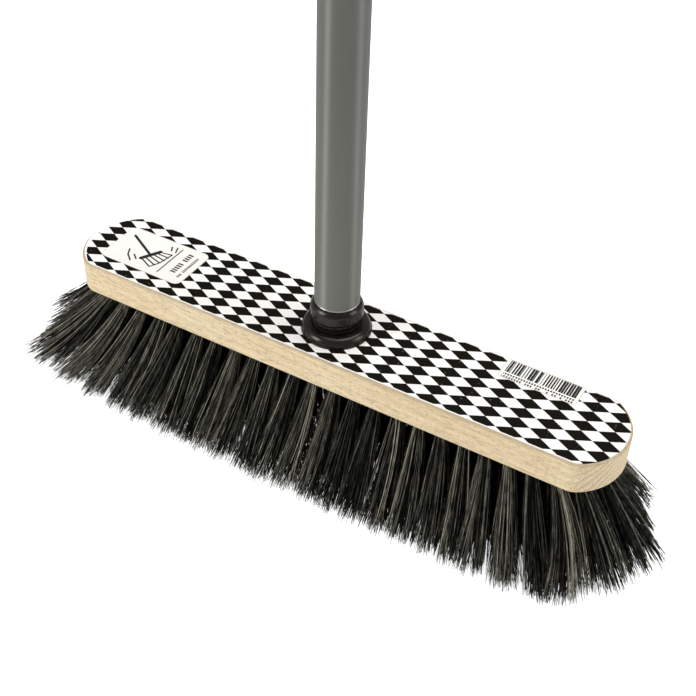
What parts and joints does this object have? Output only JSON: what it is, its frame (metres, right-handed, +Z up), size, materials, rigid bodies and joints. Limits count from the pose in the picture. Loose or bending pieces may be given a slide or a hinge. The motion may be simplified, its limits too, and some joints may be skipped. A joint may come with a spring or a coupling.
{
  "type": "push broom",
  "caption": "Straight-handled push broom: bowed-end wooden block with a diamond-pattern top, splayed dark bristle tufts and a screw-in grey steel handle.",
  "frame": {"origin": "on the floor, straight below the centre of the block, where the handle's axis meets it", "axes": "+X along the block towards the barcode sticker's end, +Y across the block, +Z up along the handle"},
  "size_m": [0.3664, 0.1014, 1.4419],
  "materials": {
    "beech": "planed and sanded, thin clear varnish",
    "printed_covering": "white with black diamonds, semi-matt print",
    "sticker": null,
    "black_plastic": "moulded, satin",
    "grey_lacquer": "smooth semi-gloss lacquer",
    "bristle": "stiff drawn bristle, dull sheen",
    "anchor_wire": "bright drawn wire"
  },
  "bodies": {
    "head": {"block": "beech", "top_covering": "printed_covering", "end_label": "sticker", "code_label": "sticker", "handle_socket": "black_plastic", "tufts_row_1": "bristle", "tufts_row_2": "bristle", "tufts_row_3": "bristle", "tufts_row_4": "bristle", "tufts_row_5": "bristle", "tufts_left_end": "bristle", "tufts_right_end": "bristle", "anchors_row_1": "anchor_wire", "anchors_row_2": "anchor_wire", "anchors_row_3": "anchor_wire", "anchors_row_4": "anchor_wire", "anchors_row_5": "anchor_wire", "anchors_left_end": "anchor_wire", "anchors_right_end": "anchor_wire"},
    "tube": {"handle_tube": "grey_lacquer"},
    "handle_ends": {"handle_ferrule": "black_plastic", "handle_cap": "black_plastic"}
  },
  "joints": [
    {"name": "handle_rise", "type": "slide", "parent": "head", "child": "tube", "axis": [0, 0, 1], "range_m": [0, 0.021]},
    {"name": "handle_turn", "type": "hinge", "parent": "tube", "child": "handle_ends", "pos_m": [0, 0, 0.08], "axis": [0, 0, 1], "range_deg": [0, 2522]}
  ],
  "couplings": [
    {"joint": "handle_turn", "follows": "handle_rise", "rad_per_m": 2094.4}
  ]
}
